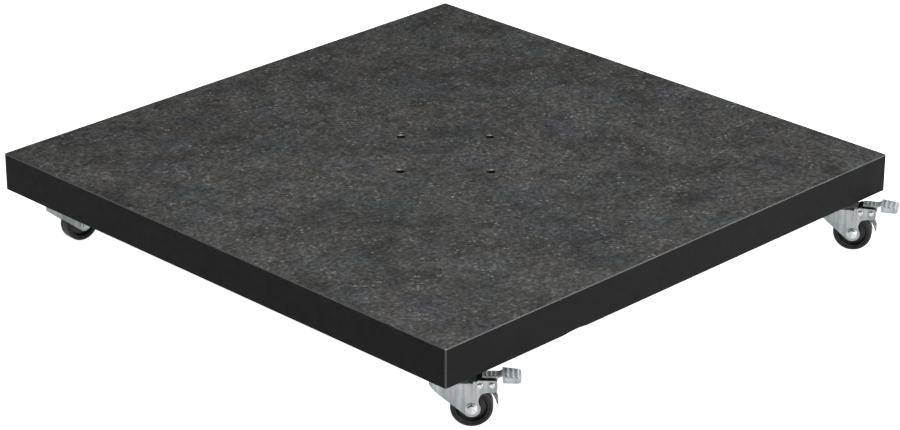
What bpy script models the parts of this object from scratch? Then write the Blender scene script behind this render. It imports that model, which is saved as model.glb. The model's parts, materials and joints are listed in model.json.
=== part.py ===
"""Wheeled granite base for a garden parasol: a square stone slab on four braked swivel casters.

Metres, +Z up. The origin is the middle of the slab's top face, where the mast's foot stands.
Each caster is modelled once around its own joints and then set under the four corners.
"""
import math

import bmesh
import bpy

# Slab
SLAB_SIDE = 0.800
SLAB_THICKNESS = 0.050
SLAB_CORNER_RADIUS = 0.0025
SLAB_ARRIS = 0.0015
SLAB_LOWER_ARRIS = 0.0008
MAST_HOLE_RADIUS_FROM_CENTRE = 0.0815
SLEEVE_DIAMETER = 0.0140
SLEEVE_BORE_DIAMETER = 0.0102
SLEEVE_LENGTH = 0.030
SLEEVE_HOLE_EXTRA_DEPTH = 0.006
SLEEVE_COUNTERSINK = 0.0006

# Caster top plate and its swivel head
CASTER_INSET = 0.048
PLATE_SIDE = 0.060
PLATE_THICKNESS = 0.0025
PLATE_CORNER_RADIUS = 0.006
PLATE_BOLT_FROM_EDGE = 0.006
PLATE_BOLT_DIAMETER = 0.006
PLATE_BOLT_DEPTH = 0.018
PLATE_BOSS_WALL = 0.004
PLATE_BOSS_DEPTH = 0.0032
KINGPIN_DIAMETER = 0.010
KINGPIN_HEAD_DIAMETER = 0.016
KINGPIN_HEAD_HEIGHT = 0.002
KINGPIN_RIVET_HEIGHT = 0.0045
BALL_DIAMETER = 0.005

# Fork
FORK_SHEET = 0.002
CROWN_HEIGHT = 0.010
CROWN_RIM = 0.0015
NOSE_REACH = 0.0195
NOSE_DEPTH = 0.0071
TRAIL = 0.030
AXLE_BOSS_RADIUS = 0.0105
LEG_WAIST = 0.0027
EAR_REACH = 0.0065
EAR_RISE = 0.0062
EAR_DROP = 0.0085
EAR_CORNER = 0.0015
BOSS_RUN_OUT = 10.0

# Wheel
WHEEL_DIAMETER = 0.050
TREAD_RECESS = 0.001
TYRE_DEPTH = 0.0047
HUB_WIDTH = 0.020
HUB_DIAMETER = 0.017
WEB_THICKNESS = 0.005
RIM_DEPTH = 0.003
RIM_RECESS = 0.001
CORE_DRAFT = 0.001
WHEEL_HEADROOM = 0.0076
HUB_CLEARANCE = 0.0005
AXLE_DIAMETER = 0.006
AXLE_HEAD_ACROSS_FLATS = 0.010
AXLE_HEAD_HEIGHT = 0.004
AXLE_NUT_HEIGHT = 0.005
AXLE_FLANGE_DIAMETER = 0.014
AXLE_FLANGE_THICKNESS = 0.001
AXLE_END_PAST_NUT = 0.001
AXLE_SLEEVE_WALL = 0.0007

# Brake: the pedal turns on one rivet and pushes the shoe, which turns on the other
PEDAL_PIVOT_ABOVE_TREAD = 0.0128
PEDAL_PIVOT_ANGLE = 52.5
SHOE_PIVOT_ABOVE_TREAD = 0.0058
SHOE_PIVOT_ANGLE = 72.2
RIVET_DIAMETER = 0.004
RIVET_HEAD_DIAMETER = 0.007
RIVET_HEAD_HEIGHT = 0.0012
PEDAL_SHEET = 0.0015
PEDAL_SIDE_CLEARANCE = 0.0025
PEDAL_NECK_RISE = 0.0078
PEDAL_NECK_BACK = 0.011
PEDAL_NECK_FRONT = 0.009
PEDAL_STEP_LENGTH = 0.003
PEDAL_STEP_RISE = 0.0018
PEDAL_PAD_LENGTH = 0.022
PEDAL_PAD_WIDTH = 0.028
PEDAL_PAD_SLOPE = 7.0
PEDAL_FLANGE_DEPTH = 0.0058
PEDAL_FLANGE_END_SHARE = 0.6
PEDAL_FLANGE_END_BACK = 0.003
PEDAL_FLANGE_LEAN = 0.001
PEDAL_FLANGE_INSET = 0.0005
PEDAL_CHEEK_WALL = 0.0022
PEDAL_CHEEK_INSET = 0.001
CAM_STEP = 12.0
PEDAL_RIDGES = 3
PEDAL_RIDGE_RADIUS = 0.0012
PEDAL_RIDGE_HEIGHT = 0.0008
PEDAL_RIDGE_FROM_SIDE = 0.003
SHOE_SHEET = 0.0018
SHOE_SIDE_CLEARANCE = 0.002
SHOE_GAP = 0.0044
SHOE_TIP_ANGLE = 9.0
SHOE_ROOT_OVERLAP = 3.0
KNUCKLE_WALL = 0.0013

GAP = 0.0003
SIDE_STEP = 0.0001
RIVETED_END_SHARE = 0.7
HEADING = {"front": -46.0, "right": -58.0, "rear": -40.0, "left": -3.0}
CORNER = {"front": (-1, -1), "right": (1, -1), "rear": (1, 1), "left": (-1, 1)}

# Facets round each circle, and how far cutters run past what they cut
RIVET_FACETS = 10
BOLT_FACETS = 12
SLAB_BOLT_HOLE_FACETS = 6
PLATE_BOLT_HOLE_FACETS = 8
RACE_FACETS = 16
CORE_FACETS = 18
CROWN_FACETS = 20
TREAD_FACETS = 32
OVERSHOOT = 0.010
THROUGH = 0.050

# Levels under the slab's lower face, which is 0 here
PLATE_TOP = -GAP
PLATE_UNDERSIDE = PLATE_TOP - PLATE_THICKNESS
BALLS_TOP = PLATE_UNDERSIDE - GAP
CROWN_TOP = BALLS_TOP - BALL_DIAMETER - GAP
ROOF_TOP = CROWN_TOP - CROWN_HEIGHT
ROOF_UNDERSIDE = ROOF_TOP - FORK_SHEET
WHEEL_RADIUS = WHEEL_DIAMETER / 2
AXLE_LEVEL = ROOF_UNDERSIDE - WHEEL_HEADROOM - WHEEL_RADIUS

KINGPIN_HOLE_RADIUS = KINGPIN_DIAMETER / 2 + GAP
PLATE_RECESS_RADIUS = KINGPIN_HEAD_DIAMETER / 2 + GAP
PLATE_BOSS_RADIUS = PLATE_RECESS_RADIUS + PLATE_BOSS_WALL
BALL_CIRCLE_RADIUS = PLATE_BOSS_RADIUS + BALL_DIAMETER / 2 + 2 * GAP
CROWN_RADIUS = BALL_CIRCLE_RADIUS + BALL_DIAMETER / 2 + CROWN_RIM
LEG_INSIDE = HUB_WIDTH / 2 + HUB_CLEARANCE
LEG_OUTSIDE = LEG_INSIDE + FORK_SHEET
HALF_TREAD = HUB_WIDTH / 2 - TREAD_RECESS
HALF_NECK = LEG_INSIDE - PEDAL_SIDE_CLEARANCE
HALF_SHOE = LEG_INSIDE - SHOE_SIDE_CLEARANCE
SHOE_INNER_RADIUS = WHEEL_RADIUS + SHOE_GAP
SHOE_OUTER_RADIUS = SHOE_INNER_RADIUS + SHOE_SHEET
RIVET_HOLE_RADIUS = RIVET_DIAMETER / 2 + GAP
KNUCKLE_RADIUS = RIVET_HOLE_RADIUS + KNUCKLE_WALL
AXLE_HOLE_RADIUS = AXLE_DIAMETER / 2 + GAP
AXLE_SLEEVE_RADIUS = AXLE_HOLE_RADIUS + AXLE_SLEEVE_WALL
HUB_BORE_RADIUS = AXLE_SLEEVE_RADIUS + 2 * GAP


def polar(radius, degrees, centre=(0.0, 0.0)):
    angle = math.radians(degrees)
    return (centre[0] + radius * math.cos(angle), centre[1] + radius * math.sin(angle))


def arc(radius, start, end, steps, centre=(0.0, 0.0)):
    """Points on a circle from one angle to another, both in degrees and both included."""
    return [polar(radius, start + (end - start) * i / steps, centre) for i in range(steps + 1)]


AXLE = (TRAIL, AXLE_LEVEL)
PEDAL_PIVOT = polar(WHEEL_RADIUS + PEDAL_PIVOT_ABOVE_TREAD, PEDAL_PIVOT_ANGLE, AXLE)
SHOE_PIVOT = polar(WHEEL_RADIUS + SHOE_PIVOT_ABOVE_TREAD, SHOE_PIVOT_ANGLE, AXLE)


def object_from(bm, name):
    bmesh.ops.recalc_face_normals(bm, faces=bm.faces)
    mesh = bpy.data.meshes.new(name)
    bm.to_mesh(mesh)
    bm.free()
    obj = bpy.data.objects.new(name, mesh)
    bpy.context.collection.objects.link(obj)
    return obj


def stacked(rings):
    """A solid skinned over rings of equally many points, closed by a face at each end."""
    bm = bmesh.new()
    loops = [[bm.verts.new(point) for point in ring] for ring in rings]
    for lower, upper in zip(loops, loops[1:]):
        for i in range(len(lower)):
            bm.faces.new((lower[i - 1], lower[i], upper[i], upper[i - 1]))
    bm.faces.new(loops[0])
    bm.faces.new(loops[-1])
    return object_from(bm, "stacked")


def prism(outline, low, high, across="Z"):
    """An outline pushed from low to high: across Z it is a plan, across Y a side view."""
    if across == "Z":
        return stacked([[(u, v, level) for u, v in outline] for level in (low, high)])
    return stacked([[(u, level, v) for u, v in outline] for level in (low, high)])


def turned(profile, segments, along="Z", flat_below=False):
    """A profile of (radius, height) turned about an axis; it is closed, or starts and ends on the axis."""
    open_profile = profile[0][0] == 0
    bm = bmesh.new()
    verts = [bm.verts.new((radius, 0, height)) for radius, height in profile]
    edges = [bm.edges.new(pair) for pair in zip(verts, verts[1:])]
    if not open_profile:
        edges.append(bm.edges.new((verts[-1], verts[0])))
    bmesh.ops.spin(bm, geom=verts + edges, axis=(0, 0, 1), cent=(0, 0, 0),
                   angle=2 * math.pi, steps=segments)
    bmesh.ops.remove_doubles(bm, verts=bm.verts, dist=1e-6)
    obj = object_from(bm, "turned")
    start = math.pi / segments if flat_below else 0.0
    for vert in obj.data.vertices:
        x, y, z = vert.co
        x, y = (x * math.cos(start) - y * math.sin(start), x * math.sin(start) + y * math.cos(start))
        vert.co = (x, z, -y) if along == "Y" else (x, y, z)
    mesh = bmesh.new()
    mesh.from_mesh(obj.data)
    bmesh.ops.recalc_face_normals(mesh, faces=mesh.faces)
    mesh.to_mesh(obj.data)
    mesh.free()
    return obj


def rod(radius, low, high, segments, along="Z", centre=(0.0, 0.0)):
    """A plain cylinder, for a hole or a shank; centre is in the plane across its axis."""
    obj = turned([(0, low), (radius, low), (radius, high), (0, high)], segments, along)
    shift = (centre[0], 0, centre[1]) if along == "Y" else (centre[0], centre[1], 0)
    for vert in obj.data.vertices:
        vert.co = [a + b for a, b in zip(vert.co, shift)]
    return obj


def combined(base, tools, operation):
    """The base with the tools added, cut away or kept in common, as one mesh."""
    for tool in tools:
        modifier = base.modifiers.new(operation.lower(), "BOOLEAN")
        modifier.operation = operation
        modifier.solver = "EXACT"
        modifier.object = tool
    graph = bpy.context.evaluated_depsgraph_get()
    mesh = bpy.data.meshes.new_from_object(base.evaluated_get(graph))
    base.modifiers.clear()
    base.data = mesh
    for tool in tools:
        bpy.data.objects.remove(tool, do_unlink=True)
    return base


def add(base, *tools):
    return combined(base, tools, "UNION")


def cut(base, *tools):
    return combined(base, tools, "DIFFERENCE")


def common(base, tool):
    return combined(base, [tool], "INTERSECT")


def finish_material(name, colour, roughness, metallic):
    material = bpy.data.materials.new(name)
    material.use_nodes = True
    shader = material.node_tree.nodes["Principled BSDF"]
    shader.inputs["Base Color"].default_value = (*colour, 1.0)
    shader.inputs["Roughness"].default_value = roughness
    shader.inputs["Metallic"].default_value = metallic
    material.diffuse_color = (*colour, 1.0)
    return material


GRANITE = ((0.070, 0.072, 0.074), 0.55, 0.0)
ZINC = ((0.62, 0.63, 0.65), 0.28, 1.0)
STEEL = ((0.45, 0.45, 0.46), 0.35, 1.0)
RUBBER = ((0.018, 0.018, 0.019), 0.65, 0.0)
PLASTIC = ((0.035, 0.035, 0.037), 0.45, 0.0)


def finished(obj, name, look):
    """Name a solid, give it its own material, and shade its round faces smooth."""
    obj.name = name
    obj.data.name = name
    obj.data.materials.clear()
    obj.data.materials.append(finish_material(name, *look))
    obj.data.shade_smooth()
    obj.data.set_sharp_from_angle(angle=math.radians(30))
    return obj


def rounded_rectangle(half_x, half_y, radius, steps):
    corners = ((half_x, half_y, 0), (-half_x, half_y, 90), (-half_x, -half_y, 180), (half_x, -half_y, 270))
    points = []
    for x, y, start in corners:
        centre = (x - math.copysign(radius, x), y - math.copysign(radius, y))
        points += arc(radius, start, start + 90, steps, centre)
    return points


def mast_hole_places():
    return {side: polar(MAST_HOLE_RADIUS_FROM_CENTRE, turn)
            for side, turn in (("right", 0), ("rear", 90), ("left", 180), ("front", 270))}


def caster_place(corner):
    reach = SLAB_SIDE / 2 - CASTER_INSET
    return tuple(sign * reach for sign in CORNER[corner])


def plate_bolt_places():
    half = PLATE_SIDE / 2 - PLATE_BOLT_FROM_EDGE
    return [(x * half, y * half) for x in (-1, 1) for y in (-1, 1)]


def granite_slab():
    levels = ((SLAB_LOWER_ARRIS, -SLAB_THICKNESS), (0, SLAB_LOWER_ARRIS - SLAB_THICKNESS),
              (0, -SLAB_ARRIS), (SLAB_ARRIS, 0))
    rings = []
    for inset, level in levels:
        half = SLAB_SIDE / 2 - inset
        rings.append([(x, y, level) for x, y in rounded_rectangle(half, half, SLAB_CORNER_RADIUS, 2)])
    slab = stacked(rings)
    hole_depth = SLEEVE_LENGTH + SLEEVE_HOLE_EXTRA_DEPTH
    holes = [rod(SLEEVE_DIAMETER / 2 + GAP, -hole_depth, OVERSHOOT, RACE_FACETS, centre=place)
             for place in mast_hole_places().values()]
    for corner in CORNER:
        middle = caster_place(corner)
        for x, y in plate_bolt_places():
            holes.append(rod(PLATE_BOLT_DIAMETER / 2 + GAP, -SLAB_THICKNESS - OVERSHOOT,
                             -SLAB_THICKNESS + PLATE_BOLT_DEPTH, SLAB_BOLT_HOLE_FACETS,
                             centre=(middle[0] + x, middle[1] + y)))
    return finished(cut(slab, *holes), "granite_slab", GRANITE)


def mast_sleeve():
    outer, bore = SLEEVE_DIAMETER / 2, SLEEVE_BORE_DIAMETER / 2
    profile = [(bore, -SLEEVE_LENGTH), (outer, -SLEEVE_LENGTH), (outer, 0),
               (bore + SLEEVE_COUNTERSINK, 0), (bore, -SLEEVE_COUNTERSINK)]
    return finished(turned(profile, RACE_FACETS), "mast_sleeve", STEEL)


def top_plate():
    half = PLATE_SIDE / 2
    plate = prism(rounded_rectangle(half, half, PLATE_CORNER_RADIUS, 3), PLATE_UNDERSIDE, PLATE_TOP)
    boss = rod(PLATE_BOSS_RADIUS, PLATE_UNDERSIDE - PLATE_BOSS_DEPTH, PLATE_TOP - GAP, RACE_FACETS)
    recess = rod(PLATE_RECESS_RADIUS, PLATE_TOP - KINGPIN_HEAD_HEIGHT - GAP, OVERSHOOT, RACE_FACETS)
    bore = rod(KINGPIN_HOLE_RADIUS, -THROUGH, THROUGH, BOLT_FACETS)
    bolts = [rod(PLATE_BOLT_DIAMETER / 2 + GAP, -THROUGH, THROUGH, PLATE_BOLT_HOLE_FACETS, centre=place)
             for place in plate_bolt_places()]
    return finished(cut(add(plate, boss), recess, bore, *bolts), "top_plate", ZINC)


def kingpin():
    shank, head = KINGPIN_DIAMETER / 2, KINGPIN_HEAD_DIAMETER / 2
    head_underside = PLATE_TOP - KINGPIN_HEAD_HEIGHT
    rivet_top = ROOF_UNDERSIDE - GAP
    rivet_end = rivet_top - KINGPIN_RIVET_HEIGHT
    profile = [(0, rivet_end), (head * RIVETED_END_SHARE, rivet_end),
               (head, rivet_top - KINGPIN_RIVET_HEIGHT / 2), (head, rivet_top), (shank, rivet_top),
               (shank, head_underside), (head, head_underside), (head, PLATE_TOP), (0, PLATE_TOP)]
    return finished(turned(profile, BOLT_FACETS), "kingpin", STEEL)


def ball_race():
    """The caged balls as one ring of six-sided section."""
    radius, middle = BALL_DIAMETER / 2, BALLS_TOP - BALL_DIAMETER / 2
    flat = radius / 2
    section = [(flat, radius), (-flat, radius), (-radius, 0), (-flat, -radius), (flat, -radius), (radius, 0)]
    profile = [(BALL_CIRCLE_RADIUS + out, middle + up) for out, up in section]
    return finished(turned(profile, RACE_FACETS), "ball_race", STEEL)


def fork_side():
    """The fork's side view: nose, slanting front edge, axle boss, waist, and the ears for the brake."""
    ear_end = PEDAL_PIVOT[0] + EAR_REACH
    ear_top = PEDAL_PIVOT[1] + EAR_RISE
    ear_bottom = PEDAL_PIVOT[1] - EAR_DROP
    roof_end = SHOE_PIVOT[0] - KNUCKLE_RADIUS - GAP
    nose = (-NOSE_REACH, ROOF_TOP - NOSE_DEPTH)
    to_nose = (nose[0] - AXLE[0], nose[1] - AXLE[1])
    spread = math.degrees(math.acos(AXLE_BOSS_RADIUS / math.hypot(*to_nose)))
    tangent = math.degrees(math.atan2(to_nose[1], to_nose[0])) % 360 + spread
    waist = AXLE[0] + AXLE_BOSS_RADIUS - LEG_WAIST
    waist_level = (AXLE[1] + ear_bottom) / 2
    outline = [(-NOSE_REACH, ROOF_TOP), nose]
    outline += arc(AXLE_BOSS_RADIUS, tangent, 360 + BOSS_RUN_OUT, 6, AXLE)
    outline += [(waist, waist_level - LEG_WAIST), (waist, waist_level + LEG_WAIST / 2),
                (waist + LEG_WAIST, ear_bottom - EAR_CORNER * 2),
                (waist + LEG_WAIST * 3, ear_bottom - EAR_CORNER / 2),
                (ear_end - EAR_CORNER, ear_bottom), (ear_end, ear_bottom + EAR_CORNER)]
    outline += [(ear_end, ear_top - EAR_CORNER), (ear_end - EAR_CORNER, ear_top),
                (roof_end + FORK_SHEET, ear_top), (roof_end, ROOF_TOP)]
    return outline, roof_end, ear_end


def fork_plan(half_width, front, back):
    """Seen from above: two straight sides joined by a round nose."""
    nose = arc(half_width, 90, 270, 8, (front + half_width, 0.0))
    return [(back, half_width)] + nose + [(back, -half_width)]


def fork():
    side, roof_end, ear_end = fork_side()
    lowest = AXLE_LEVEL - AXLE_BOSS_RADIUS
    past_ears = ear_end + OVERSHOOT
    body = prism(side, -THROUGH, THROUGH, across="Y")
    body = common(body, prism(fork_plan(LEG_OUTSIDE, -NOSE_REACH, past_ears), lowest - OVERSHOOT, 0.0))
    body = add(body, rod(CROWN_RADIUS, ROOF_TOP - FORK_SHEET / 2, CROWN_TOP, CROWN_FACETS))
    hollow = prism(fork_plan(LEG_INSIDE, FORK_SHEET - NOSE_REACH, past_ears), lowest - OVERSHOOT,
                   ROOF_UNDERSIDE)
    slot = prism([(roof_end, -LEG_INSIDE), (past_ears, -LEG_INSIDE), (past_ears, LEG_INSIDE),
                  (roof_end, LEG_INSIDE)], ROOF_UNDERSIDE - OVERSHOOT, 0.0)
    bores = [rod(KINGPIN_HOLE_RADIUS, -THROUGH, 0.0, BOLT_FACETS),
             rod(AXLE_HOLE_RADIUS, -THROUGH, THROUGH, RIVET_FACETS, "Y", AXLE)]
    bores += [rod(RIVET_HOLE_RADIUS, -THROUGH, THROUGH, RIVET_FACETS, "Y", pivot)
              for pivot in (PEDAL_PIVOT, SHOE_PIVOT)]
    return finished(cut(cut(body, hollow, slot), *bores), "fork", ZINC)


def tyre():
    """A round tread band whose flats lie on the wheel's diameter, one of them straight down."""
    out = 1 / math.cos(math.pi / TREAD_FACETS)
    outer, inner, half = WHEEL_RADIUS, WHEEL_RADIUS - TYRE_DEPTH, HALF_TREAD
    shoulder = HALF_TREAD / 4
    profile = [(inner * out, -half), (outer - shoulder, -half), (outer * out, shoulder - half),
               (outer * out, half - shoulder), (outer - shoulder, half), (inner * out, half)]
    return finished(turned(profile, TREAD_FACETS, "Y", flat_below=True), "tyre", RUBBER)


def wheel_core():
    hub, rim_outer = HUB_DIAMETER / 2, WHEEL_RADIUS - TYRE_DEPTH - GAP
    rim_inner, rim_half = rim_outer - RIM_DEPTH, HALF_TREAD - RIM_RECESS
    hub_half, web_half = HUB_WIDTH / 2, WEB_THICKNESS / 2
    half = [(HUB_BORE_RADIUS, hub_half), (hub, hub_half), (hub + CORE_DRAFT, web_half),
            (rim_inner - CORE_DRAFT, web_half), (rim_inner, rim_half), (rim_outer, rim_half)]
    profile = half + [(radius, -height) for radius, height in reversed(half)]
    return finished(turned(profile, CORE_FACETS, "Y"), "wheel_core", PLASTIC)


def axle_sleeve():
    half = LEG_INSIDE - GAP
    profile = [(AXLE_HOLE_RADIUS, -half), (AXLE_SLEEVE_RADIUS, -half),
               (AXLE_SLEEVE_RADIUS, half), (AXLE_HOLE_RADIUS, half)]
    return finished(turned(profile, RIVET_FACETS, "Y"), "axle_sleeve", STEEL)


def hexagon(across_flats):
    return arc(across_flats / math.sqrt(3), 0, 300, 5)


def axle_bolt():
    seat = -LEG_OUTSIDE - GAP
    head = prism(hexagon(AXLE_HEAD_ACROSS_FLATS), seat - AXLE_HEAD_HEIGHT, seat, across="Y")
    end = LEG_OUTSIDE + GAP + AXLE_NUT_HEIGHT + AXLE_END_PAST_NUT
    shank = rod(AXLE_DIAMETER / 2, seat - AXLE_HEAD_HEIGHT / 2, end, BOLT_FACETS, "Y")
    flange = rod(AXLE_FLANGE_DIAMETER / 2, seat - AXLE_FLANGE_THICKNESS, seat + SIDE_STEP, RACE_FACETS, "Y")
    return finished(add(head, flange, shank), "axle_bolt", ZINC)


def axle_nut():
    seat = LEG_OUTSIDE + GAP
    nut = prism(hexagon(AXLE_HEAD_ACROSS_FLATS), seat, seat + AXLE_NUT_HEIGHT, across="Y")
    return finished(cut(nut, rod(AXLE_HOLE_RADIUS, 0, THROUGH, BOLT_FACETS, "Y")), "axle_nut", ZINC)


def rivet():
    shank, head = RIVET_DIAMETER / 2, RIVET_HEAD_DIAMETER / 2
    seat = LEG_OUTSIDE + GAP
    end = seat + RIVET_HEAD_HEIGHT
    half = [(0, end), (head * RIVETED_END_SHARE, end), (head, seat + RIVET_HEAD_HEIGHT / 3),
            (head, seat), (shank, seat)]
    return turned(half + [(radius, -height) for radius, height in reversed(half)], RIVET_FACETS, "Y")


def strip(path, thickness):
    """The outline of a bent sheet: the path is its underside and the sheet lies above it."""
    above = []
    for i, point in enumerate(path):
        before, after = path[max(i - 1, 0)], path[min(i + 1, len(path) - 1)]
        turn_in = math.atan2(point[1] - before[1], point[0] - before[0]) if i else None
        turn_out = math.atan2(after[1] - point[1], after[0] - point[0]) if i < len(path) - 1 else turn_in
        turn_in = turn_out if turn_in is None else turn_in
        middle = (turn_in + turn_out) / 2 + math.pi / 2
        reach = thickness / math.cos((turn_out - turn_in) / 2)
        above.append((point[0] + reach * math.cos(middle), point[1] + reach * math.sin(middle)))
    return path + above[::-1]


def brake_pedal():
    """Round the pedal's rivet: a neck on two cheeks, and a ribbed foot pad with turned-down edges."""
    slope = math.radians(PEDAL_PAD_SLOPE)
    step_foot = (PEDAL_NECK_FRONT, PEDAL_NECK_RISE)
    pad_start = (step_foot[0] + PEDAL_STEP_LENGTH, step_foot[1] + PEDAL_STEP_RISE)
    pad_end = (pad_start[0] + PEDAL_PAD_LENGTH * math.cos(slope),
               pad_start[1] - PEDAL_PAD_LENGTH * math.sin(slope))
    half_pad = PEDAL_PAD_WIDTH / 2
    path = [(-PEDAL_NECK_BACK, PEDAL_NECK_RISE), step_foot, pad_start, pad_end]
    pedal = prism(strip(path, PEDAL_SHEET), SIDE_STEP - half_pad, half_pad - SIDE_STEP, across="Y")
    pieces, beside_neck = [], []
    for side in (-1, 1):
        faces = sorted((side * half_pad, side * (half_pad - PEDAL_SHEET)))
        flange = [pad_start, (pad_start[0] + PEDAL_FLANGE_LEAN, pad_start[1] - PEDAL_FLANGE_DEPTH),
                  (pad_end[0] - PEDAL_FLANGE_END_BACK,
                   pad_end[1] - PEDAL_FLANGE_DEPTH * PEDAL_FLANGE_END_SHARE),
                  (pad_end[0] - PEDAL_FLANGE_INSET, pad_end[1] + PEDAL_SHEET / 2),
                  (pad_start[0] + PEDAL_FLANGE_INSET, pad_start[1] + PEDAL_SHEET / 2)]
        pieces.append(prism(flange, *faces, across="Y"))
        faces = sorted((side * HALF_NECK, side * (HALF_NECK - PEDAL_SHEET)))
        pieces.append(prism(pedal_cheek(), *faces, across="Y"))
        faces = sorted((side * (HALF_NECK - SIDE_STEP), side * 2 * half_pad))
        beside_neck.append(prism([(-THROUGH, -THROUGH), (pad_start[0], -THROUGH),
                                  (pad_start[0], THROUGH), (-THROUGH, THROUGH)], *faces, across="Y"))
    pedal = cut(pedal, *beside_neck)
    for i in range(PEDAL_RIDGES):
        share = (i + 1) / (PEDAL_RIDGES + 1)
        x = pad_start[0] + (pad_end[0] - pad_start[0]) * share
        z = pad_start[1] + (pad_end[1] - pad_start[1]) * share + PEDAL_SHEET
        ridge = arc(PEDAL_RIDGE_RADIUS, 0, 180, 4, (x, z - PEDAL_RIDGE_RADIUS + PEDAL_RIDGE_HEIGHT))
        reach = half_pad - PEDAL_RIDGE_FROM_SIDE
        pieces.append(prism(ridge, -reach, reach, across="Y"))
    bore = rod(RIVET_HOLE_RADIUS, -THROUGH, THROUGH, RIVET_FACETS, "Y")
    return finished(cut(add(pedal, *pieces), bore), "brake_pedal", ZINC)


def cam_reach(turn):
    """How far the cam may reach from the pedal's rivet towards the shoe's back, turned off the axle."""
    span = WHEEL_RADIUS + PEDAL_PIVOT_ABOVE_TREAD
    off_axle, back = span * math.sin(math.radians(turn)), SHOE_OUTER_RADIUS + GAP
    return span * math.cos(math.radians(turn)) - math.sqrt(back ** 2 - off_axle ** 2)


def pedal_cheek():
    """Side plate round the rivet, with the cam lobe that reaches down to the shoe's back."""
    top = PEDAL_NECK_RISE + PEDAL_SHEET / 2
    round_part = RIVET_HOLE_RADIUS + PEDAL_CHEEK_WALL
    inward = PEDAL_PIVOT_ANGLE + 180
    outline = [(PEDAL_NECK_FRONT - PEDAL_CHEEK_INSET, top)] + arc(round_part, 0, -80, 4)
    outline += [polar(cam_reach(turn), inward + turn) for turn in (2 * CAM_STEP, CAM_STEP, 0)]
    outline.append(polar(cam_reach(0), inward - CAM_STEP))
    outline += arc(round_part, inward - 30, 180, 2)
    return outline + [(2 * PEDAL_CHEEK_INSET - PEDAL_NECK_BACK, top)]


def brake_shoe():
    """Round the shoe's rivet: a knuckle and a curved tongue that follows the tread."""
    axle = (AXLE[0] - SHOE_PIVOT[0], AXLE[1] - SHOE_PIVOT[1])
    start = SHOE_PIVOT_ANGLE + SHOE_ROOT_OVERLAP
    tongue = arc(SHOE_OUTER_RADIUS, start, SHOE_TIP_ANGLE, 7, axle)
    tongue += arc(SHOE_INNER_RADIUS, SHOE_TIP_ANGLE, start, 7, axle)
    shoe = add(prism(tongue, -HALF_SHOE, HALF_SHOE, across="Y"),
               rod(KNUCKLE_RADIUS, -HALF_SHOE, HALF_SHOE, BOLT_FACETS, "Y"))
    bore = rod(RIVET_HOLE_RADIUS, -THROUGH, THROUGH, RIVET_FACETS, "Y")
    return finished(cut(shoe, bore), "brake_shoe", ZINC)


def empty(name, parent, location, heading=0.0):
    holder = bpy.data.objects.new(name, None)
    holder.parent = parent
    holder.location = location
    holder.rotation_euler = (0, 0, math.radians(heading))
    bpy.context.collection.objects.link(holder)
    return holder


def placed(pattern, name, parent, location=(0, 0, 0)):
    piece = bpy.data.objects.new(name, pattern.data)
    piece.parent = parent
    piece.location = location
    bpy.context.collection.objects.link(piece)
    return piece


def main():
    for obj in list(bpy.data.objects):
        bpy.data.objects.remove(obj, do_unlink=True)
    granite_slab()
    sleeve = mast_sleeve()
    for side, (x, y) in mast_hole_places().items():
        placed(sleeve, f"mast_sleeve_{side}", None, (x, y, 0))
    fixed = [top_plate(), kingpin()]
    turning = [ball_race(), fork()]
    on_axle = [axle_bolt(), axle_nut(), axle_sleeve()]
    rolling = [wheel_core(), tyre()]
    pedal, shoe = brake_pedal(), brake_shoe()
    rivets = {"pedal_rivet": finished(rivet(), "pedal_rivet", STEEL),
              "shoe_rivet": finished(rivet(), "shoe_rivet", STEEL)}
    for corner, heading in HEADING.items():
        x, y = caster_place(corner)
        caster = empty(f"caster_{corner}", None, (x, y, -SLAB_THICKNESS))
        swivel = empty(f"swivel_{corner}", caster, (0, 0, 0), heading)
        axle = empty(f"axle_{corner}", swivel, (AXLE[0], 0, AXLE[1]))
        pivots = {"pedal_rivet": (PEDAL_PIVOT[0], 0, PEDAL_PIVOT[1]),
                  "shoe_rivet": (SHOE_PIVOT[0], 0, SHOE_PIVOT[1])}
        for pattern in fixed:
            placed(pattern, f"{pattern.name}_{corner}", caster)
        for pattern in turning:
            placed(pattern, f"{pattern.name}_{corner}", swivel)
        for pattern in on_axle + rolling:
            placed(pattern, f"{pattern.name}_{corner}", axle)
        for name, pattern in rivets.items():
            placed(pattern, f"{name}_{corner}", swivel, pivots[name])
        placed(pedal, f"brake_pedal_{corner}", swivel, pivots["pedal_rivet"])
        placed(shoe, f"brake_shoe_{corner}", swivel, pivots["shoe_rivet"])
    for pattern in [sleeve, pedal, shoe, *fixed, *turning, *on_axle, *rolling, *rivets.values()]:
        bpy.data.objects.remove(pattern, do_unlink=True)


main()
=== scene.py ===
"""Looks of a wheeled stone parasol base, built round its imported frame. Metres, +Z up.

The slab and its four threaded sleeves are made in the frame's own axes. Each caster piece is made
once, in the caster's axes: X trails behind the kingpin, Y runs along the axle, and Z is up from the
slab's underside. It is then set under all four corners.
"""
import json
import math

import bmesh
import bpy
from mathutils import Matrix, Vector, noise


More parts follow.
